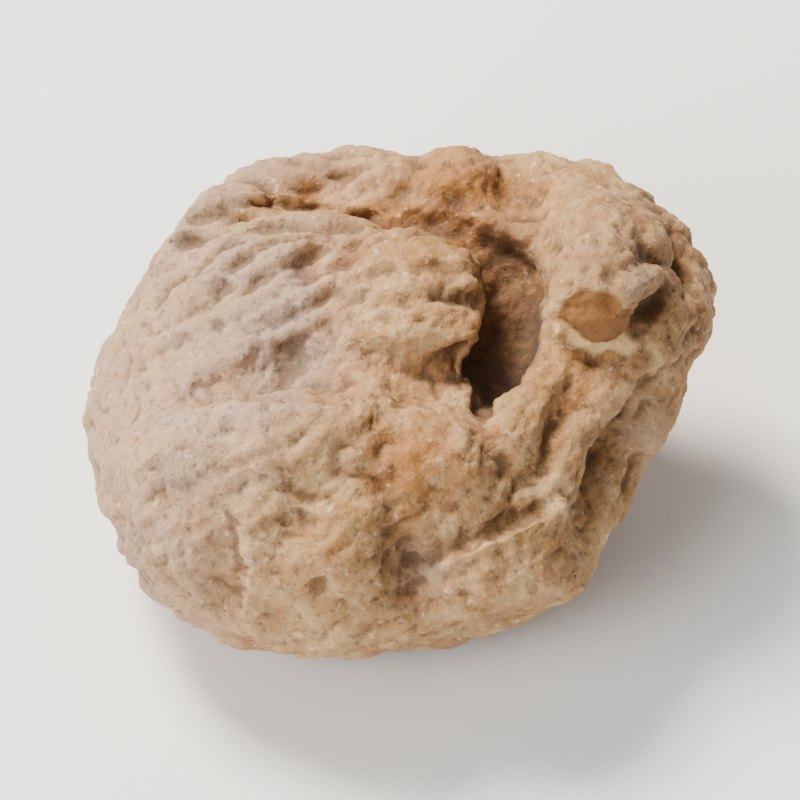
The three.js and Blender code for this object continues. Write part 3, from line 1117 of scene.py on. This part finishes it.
@dataclass
class DriedFig:
    """The whole fig: fruit, neck and stalk, which grew as one piece. Sizes are in millimetres."""

    form: FigForm = field(default_factory=FigForm)
    folds: tuple[Fold, ...] = FRONT_FOLDS
    rough_voxel: float = 0.45
    skin_voxel: float = 0.245
    neck_root: tuple[float, float, float] = (6.5, 7.0, 17.0)
    eye: tuple[float, float, float] = (-15.0, 1.0, 3.6)
    eye_radius: float = 2.6
    eye_depth: float = 1.3
    swelling_size: float = 4.5
    swelling_height: float = 0.45
    broad_creases: float = 3.2
    fine_creases: float = 1.3
    crumples: tuple[Crumple, ...] = (
        Crumple(3.4, 0.26, 0.16, 12.0),
        Crumple(1.7, 0.18, 0.08, 13.0),
        Crumple(0.85, 0.15, 0.0, 14.0),
    )
    pebble_size: float = 1.3
    pebble_height: float = 0.1
    finish: SunDriedFigSkin = SunDriedFigSkin()
    amber_patches: tuple[Patch, ...] = (
        (-6.5, 13.8, 1.6, 0.7), (3.2, 13.6, 3.4, 0.9), (8.4, 12.8, 2.6, 0.6),
        (-2.0, 14.4, 2.8, 0.5), (0.8, 10.0, 1.8, 0.5), (-3.4, 9.2, 0.8, 0.7), (-6.2, 8.4, 0.8, 0.8),
        (3.2, 4.4, 2.4, 0.45), (8.6, 0.6, 3.0, 0.5), (0.6, -4.0, 2.8, 0.7), (4.0, -3.6, 2.4, 0.4),
        (-4.0, -8.6, 2.0, 0.6), (11.6, 1.6, 2.4, 0.35), (9.6, -9.2, 0.9, 0.6),
        (6.0, -12.0, 1.8, 0.35),
    )
    shaded_patches: tuple[Patch, ...] = (
        (6.6, 9.0, 1.8, 0.65), (7.0, 5.4, 1.8, 0.5), (5.4, 2.0, 1.6, 0.5), (3.6, 3.0, 1.2, 0.35),
        (16.6, 7.4, 1.8, 0.4), (15.6, 6.0, 0.9, 0.7), (17.4, 8.3, 0.7, 0.6), (15.6, 9.2, 0.7, 0.5),
        (17.6, 4.6, 1.4, 0.3), (11.8, -3.0, 1.1, 0.4), (0.4, -10.4, 1.7, 0.35),
        (2.6, 12.2, 2.0, 0.55), (6.4, 10.6, 1.6, 0.4), (12.0, 8.6, 2.4, 0.34),
    )
    dusty_patches: tuple[Patch, ...] = (
        (-7.2, 2.2, 3.0, 0.7), (-8.0, 6.6, 3.2, 0.4), (-12.0, 0.0, 4.0, 0.3),
        (0.6, -11.0, 1.6, 0.6), (15.0, -2.0, 2.4, 0.4), (12.6, 10.4, 2.6, 0.25),
        (14.9, 7.4, 1.0, 0.7),
    )

    def rough_out(self) -> bpy.types.Mesh:
        """Swells a sphere out to the skin, strings balls along the neck, and remeshes them as one.

        Returns:
            The rough mesh.
        """
        middle = np.array(self.form.middle)
        farthest, steps, caution, balls = 32.0, 60, 0.7, 6
        bm = bmesh.new()
        bmesh.ops.create_icosphere(bm, subdivisions=6, radius=1.0)
        directions = unit(np.array([vert.co[:] for vert in bm.verts]))
        reach = np.full(len(directions), farthest)
        for _ in range(steps):
            reach -= caution * self.form.body_distance(middle + directions * reach[:, None])
        for vert, point in zip(bm.verts, middle + directions * reach[:, None]):
            vert.co = point
        chain = self.form.neck_chain
        for start, end, r0, r1 in zip(chain.places[:-1], chain.places[1:], chain.radii[:-1], chain.radii[1:]):
            for share in np.linspace(0.0, 1.0, balls):
                ball = Matrix.Translation(start + (end - start) * share)
                bmesh.ops.create_icosphere(bm, subdivisions=4, radius=r0 + (r1 - r0) * share, matrix=ball)
        mesh = bpy.data.meshes.new("rough_fig")
        bm.to_mesh(mesh)
        bm.free()
        return remesh(mesh, self.rough_voxel)

    def settle(self, skin: Skin, rounds: int) -> None:
        """Draws a skin onto the form.

        Args:
            skin: The skin, which lies near the form.
            rounds: How many steps it takes.
        """
        step, caution, gentlest = 0.05, 0.8, 0.2
        points = skin.points
        for _ in range(rounds):
            here = self.form.distance(points)
            ahead = [self.form.distance(points + way) for way in np.eye(3) * step]
            slope = (np.column_stack(ahead) - here[:, None]) / step
            steepness = np.maximum((slope**2).sum(1), gentlest)
            points = points - caution * (here / steepness)[:, None] * slope
        skin.move_to(points)

    def meridians(self, skin: Skin) -> np.ndarray:
        """Finds which way the skin runs from the neck to the eye.

        Args:
            skin: The skin.

        Returns:
            The direction along the skin at each vertex.
        """
        root, eye = np.array(self.neck_root), np.array(self.eye)
        stray = np.column_stack([noise_at(skin.points, 7.0, 3.0 + axis) for axis in range(3)])
        planes = np.cross(unit(root - eye), skin.points + 2.2 * stray - root)
        return unit(np.cross(skin.normals, planes))

    def press_folds(self, skin: Skin) -> None:
        """Presses the folds into the side that faces the drawing plane.

        Args:
            skin: The skin.
        """
        places = PLANE.coordinates(skin.points)
        facing = np.clip((skin.normals @ PLANE.facing - 0.05) / 0.3, 0.0, 1.0)
        rise = np.zeros(skin.count)
        for fold in self.folds:
            rise += fold.rise(places)
        skin.lift(rise * facing)
        skin.move_to(skin.smooth(skin.points, skin.passes_for(0.25)))

    def pucker_eye(self, skin: Skin) -> None:
        """Draws the skin in round the eye, the small opening opposite the neck.

        Args:
            skin: The skin.
        """
        offset = skin.points - np.array(self.eye)
        gap = np.linalg.norm(offset, axis=1) / self.eye_radius
        around = np.arctan2(offset[:, 1], offset[:, 2])
        gathers = 0.22 * np.sin(9 * around) * np.exp(-((gap - 1.0) ** 2) / 0.3)
        scales = 0.3 * np.exp(-((gap - 0.38) ** 2) / 0.02) * (0.6 + 0.4 * np.sin(5 * around))
        skin.lift(gathers + scales - self.eye_depth * np.exp(-(gap**2) * 1.4))

    def wrinkle(self, skin: Skin) -> None:
        """Wrinkles the skin: swellings, creases from neck to eye, and crumpled and pebbled grain.

        Args:
            skin: The skin.
        """
        directions = self.meridians(skin)
        shown = ramp(skin.normals @ PLANE.facing, 0.0, 0.6)
        places = PLANE.coordinates(skin.points)
        pleated = shown * ramp(-places[:, 0], 0.0, 5.0) * ramp(places[:, 1], 3.5, 7.5)
        patch = noise_at(skin.points, 6.0, 1.0)
        broad = np.sqrt((1.0 + skin.stripes(directions, self.broad_creases, 10, 5)) / 2.0)
        fine = np.sqrt((1.0 + skin.stripes(directions, self.fine_creases, 5, 6)) / 2.0)
        warp = 0.8 * np.column_stack([noise_at(skin.points, 2.4, 20.0 + axis) for axis in range(3)])
        warped = skin.points + warp
        # the usual height of a crease, a crumple and a pebble, taken off so that the skin keeps its size
        crease_middle, crumple_middle, pebble_middle = 0.7, 0.6, 0.7
        rise = self.swelling_height * noise_at(skin.points, self.swelling_size, 9.0) * (1.0 - 0.4 * shown)
        # creases are fainter where the front's own folds are, and stronger among the pleats
        rise += (0.5 - 0.4 * shown + 0.5 * pleated) * (broad - crease_middle) * np.clip(0.8 + patch, 0.3, 1.3)
        rise += (0.1 + 0.3 * pleated) * (fine - crease_middle) * np.clip(0.9 - patch, 0.3, 1.3)
        for crumple in self.crumples:
            height = crumple.height - crumple.lower * pleated
            rise += height * (crumple_at(warped, crumple.size, crumple.seed) - crumple_middle)
        rise += self.pebble_height * (pebbles_at(warped, self.pebble_size, 2.0) - pebble_middle)
        skin.lift(rise)

    def rest(self, skin: Skin, box: np.ndarray) -> None:
        """Flattens the underside on the table, and fits the fig to its packed size over the origin.

        Args:
            skin: The skin.
            box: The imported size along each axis, in millimetres.
        """
        points = skin.points.copy()
        points[:, 2] = np.maximum(points[:, 2], 0.0)
        low, high = points.min(0), points.max(0)
        middle = np.array([*(low[:2] + high[:2]) / 2, low[2]])
        skin.move_to((points - middle) * (box / (high - low)))

    def openness(self, skin: Skin) -> np.ndarray:
        """Works out how much of the sky each vertex sees.

        Args:
            skin: The skin.

        Returns:
            The share at each vertex, from 0 to 1.
        """
        rays, reach, stride, clear = 40, 14.0, 6, 0.15
        tree = BVHTree.FromPolygons(
            [tuple(point) for point in skin.points], [tuple(face.vertices) for face in skin.mesh.polygons]
        )
        random = np.random.default_rng(11)
        ways = unit(random.normal(size=(rays, 3)))
        chosen = np.arange(0, skin.count, stride)
        lookup = kdtree.KDTree(len(chosen))
        seen = np.zeros(len(chosen))
        for row, vertex in enumerate(chosen):
            normal = skin.normals[vertex]
            start = Vector(skin.points[vertex] + normal * clear)
            lookup.insert(skin.points[vertex], row)
            total = 0.0
            for way in ways:
                lean = float(way @ normal)
                if lean < 0:
                    way, lean = -way, -lean
                total += lean
                if tree.ray_cast(start, Vector(way), reach)[0] is None:
                    seen[row] += lean
            seen[row] /= total
        lookup.balance()
        nearest = np.array([lookup.find(point)[1] for point in skin.points])
        return skin.smooth(seen[nearest], skin.passes_for(0.5))

    def add_patches(
        self, amount: np.ndarray, patches: tuple[Patch, ...], places: np.ndarray, shown: np.ndarray
    ) -> None:
        """Adds soft round patches to an amount at each vertex.

        Args:
            amount: The amount, which is changed.
            patches: The patches.
            places: Where the vertices show on the drawing plane.
            shown: How squarely each vertex faces it, from 0 to 1.
        """
        for across, up, width, strength in patches:
            gap = np.hypot(places[:, 0] - across, places[:, 1] - up) / width
            amount += strength * np.exp(-(gap**2)) * shown

    def mark(self, skin: Skin, places: np.ndarray, cup: np.ndarray, lip: np.ndarray) -> None:
        """Stores where the skin is amber, dusty or torn stalk, and where shade is painted: in creases, in
        hollows that see little sky, and in listed patches.

        Args:
            skin: The finished skin.
            places: Where its vertices show on the drawing plane.
            cup: How far each vertex is inside the stalk's cup, from 0 to 1.
            lip: How far each vertex is on the torn lip, from 0 to 1.
        """
        shown = ramp(skin.normals @ PLANE.facing, 0.0, 0.5)
        openness = self.openness(skin)
        near, wide = skin.sunkenness(0.5), skin.sunkenness(1.6)
        amber = np.zeros(skin.count)
        self.add_patches(amber, self.amber_patches, places, shown)
        blotches = noise_at(skin.points, 5.0, 31.0)
        amber += 0.5 * ramp(wide, 0.0, 0.5) + 0.2 * ramp(blotches, 0.1, 0.5)
        dusty = ramp(-places[:, 0] + 0.35 * places[:, 1], 2.0, 15.0) * 0.55 * ramp(openness, 0.5, 0.9)
        self.add_patches(dusty, self.dusty_patches, places, shown)
        skin.keep("amber", np.clip(amber * (0.75 + 0.4 * blotches), 0.0, 0.85))
        skin.keep("bloom", np.clip(dusty * (0.85 + 0.5 * noise_at(skin.points, 2.2, 33.0)), 0.0, 0.75))
        # painted shade: darker where the skin lies sunken below the skin around it
        skin.keep("painted_crease_shade", np.clip(0.55 * ramp(near, 0.02, 0.16) * (1.0 - cup), 0.0, 0.6))
        # painted shade: darker where the skin sees little of the sky
        skin.keep("painted_hollow_shade", np.clip(0.9 * ramp(-openness, -0.6, -0.2), 0.0, 0.9) * (1.0 - cup))
        shade = np.zeros(skin.count)
        self.add_patches(shade, self.shaded_patches, places, shown)
        shade *= (0.8 + 0.6 * noise_at(skin.points, 1.4, 35.0)) * (1.0 - cup)
        skin.keep("shade", np.clip(shade, 0.0, 0.8))
        skin.keep("cup", cup * 0.85)
        skin.keep("lip", lip * 0.9)

    def build(self, box: np.ndarray) -> bpy.types.Object:
        """Builds and dresses the fig.

        Args:
            box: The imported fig's size along each axis, in millimetres.

        Returns:
            The fig's object.
        """
        mesh = self.rough_out()
        for voxel in (self.rough_voxel, self.rough_voxel, self.skin_voxel):
            skin = Skin(mesh)
            self.settle(skin, 4)
            mesh = remesh(skin.mesh, voxel)
        skin = Skin(mesh)
        self.settle(skin, 2)
        skin.move_to(skin.smooth(skin.points, skin.passes_for(0.3)))
        cup, lip = self.form.stalk.marks(skin.points, self.form.neck_chain)
        self.press_folds(skin)
        places = PLANE.coordinates(skin.points)
        self.pucker_eye(skin)
        self.wrinkle(skin)
        self.rest(skin, box)
        self.mark(skin, places, cup, lip)
        mesh = skin.mesh
        mesh.transform(Matrix.Scale(MM, 4))
        mesh.name = "fig_skin"
        mesh.polygons.foreach_set("use_smooth", [True] * len(mesh.polygons))
        mesh.materials.append(self.finish.make())
        fig = bpy.data.objects.new("fig_skin", mesh)
        bpy.context.scene.collection.objects.link(fig)
        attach(fig, "root")
        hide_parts("dried_fig")
        return fig


# ---------------------------------------------------------------- the studio


@dataclass(frozen=True)
class SoftBox:
    """A square soft light, aimed at the fig. Its place is in metres."""

    name: str
    place: tuple[float, float, float]
    size: float
    power: float
    colour: str = "FFFFFF"

    def build(self, target: Vector) -> bpy.types.Object:
        """Builds the light.

        Args:
            target: The point that it is aimed at.

        Returns:
            The light's object.
        """
        data = bpy.data.lights.new(self.name, "AREA")
        data.energy = self.power
        data.size = self.size
        data.color = srgb(self.colour)[:3]
        light = bpy.data.objects.new(self.name, data)
        light.location = self.place
        light.rotation_mode = "QUATERNION"
        light.rotation_quaternion = (target - Vector(self.place)).to_track_quat("-Z", "Y")
        bpy.context.scene.collection.objects.link(light)
        return light


@dataclass(frozen=True)
class Studio:
    """A pale floor, soft light and a camera that looks down at the fig. Sizes are in metres."""

    floor_half: float = 2.0
    sky: str = "FFFFFF"
    sky_strength: float = 0.4
    elevation_deg: float = 50.0
    lens_mm: float = 250.0
    sensor_mm: float = 36.0
    view_width: float = 0.0525
    aim_height: float = 0.0125
    lights: tuple[SoftBox, ...] = (
        SoftBox("key", (-0.18, 0.18, 0.36), 0.14, 5.0, "FFF6EA"),
        SoftBox("fill", (-0.32, -0.28, 0.3), 0.3, 3.0),
    )

    def lay_floor(self) -> bpy.types.Object:
        """Lays the floor.

        Returns:
            The floor's object.
        """
        bm = bmesh.new()
        bmesh.ops.create_grid(bm, x_segments=1, y_segments=1, size=self.floor_half)
        mesh = bpy.data.meshes.new("floor")
        bm.to_mesh(mesh)
        bm.free()
        mesh.materials.append(PaperBackdrop().make())
        floor = bpy.data.objects.new("floor", mesh)
        bpy.context.scene.collection.objects.link(floor)
        floor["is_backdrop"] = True
        return floor

    def light(self, target: Vector) -> None:
        """Hangs the lights and sets the sky.

        Args:
            target: The point that the lights are aimed at.
        """
        world = bpy.data.worlds.new("sky")
        world.use_nodes = True
        background = world.node_tree.nodes["Background"]
        background.inputs["Color"].default_value = srgb(self.sky)
        background.inputs["Strength"].default_value = self.sky_strength
        bpy.context.scene.world = world
        for soft_box in self.lights:
            soft_box.build(target)

    def place_camera(self, target: Vector) -> None:
        """Places the camera.

        Args:
            target: The point that it looks at.
        """
        tilt = math.radians(self.elevation_deg)
        back = Vector((0.0, -math.cos(tilt), math.sin(tilt)))
        data = bpy.data.cameras.new("camera")
        data.lens = self.lens_mm
        data.sensor_width = self.sensor_mm
        data.clip_start = 0.01
        camera = bpy.data.objects.new("camera", data)
        camera.location = target + back * (self.view_width * self.lens_mm / self.sensor_mm)
        camera.rotation_mode = "QUATERNION"
        camera.rotation_quaternion = (-back).to_track_quat("-Z", "Y")
        bpy.context.scene.collection.objects.link(camera)
        bpy.context.scene.camera = camera

    def build(self) -> None:
        """Builds the floor, the lights and the camera."""
        target = Vector((0.0, 0.0, self.aim_height))
        self.lay_floor()
        self.light(target)
        self.place_camera(target)


def main() -> None:
    """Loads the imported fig, dresses it, and lights it."""
    logging.basicConfig(level=logging.INFO, format="%(message)s")
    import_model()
    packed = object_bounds()
    fig = DriedFig().build(np.array(packed[1] - packed[0]) / MM)
    LOG.info("%s: %d faces", fig.name, len(fig.data.polygons))
    Studio().build()


if __name__ == "__main__":
    main()
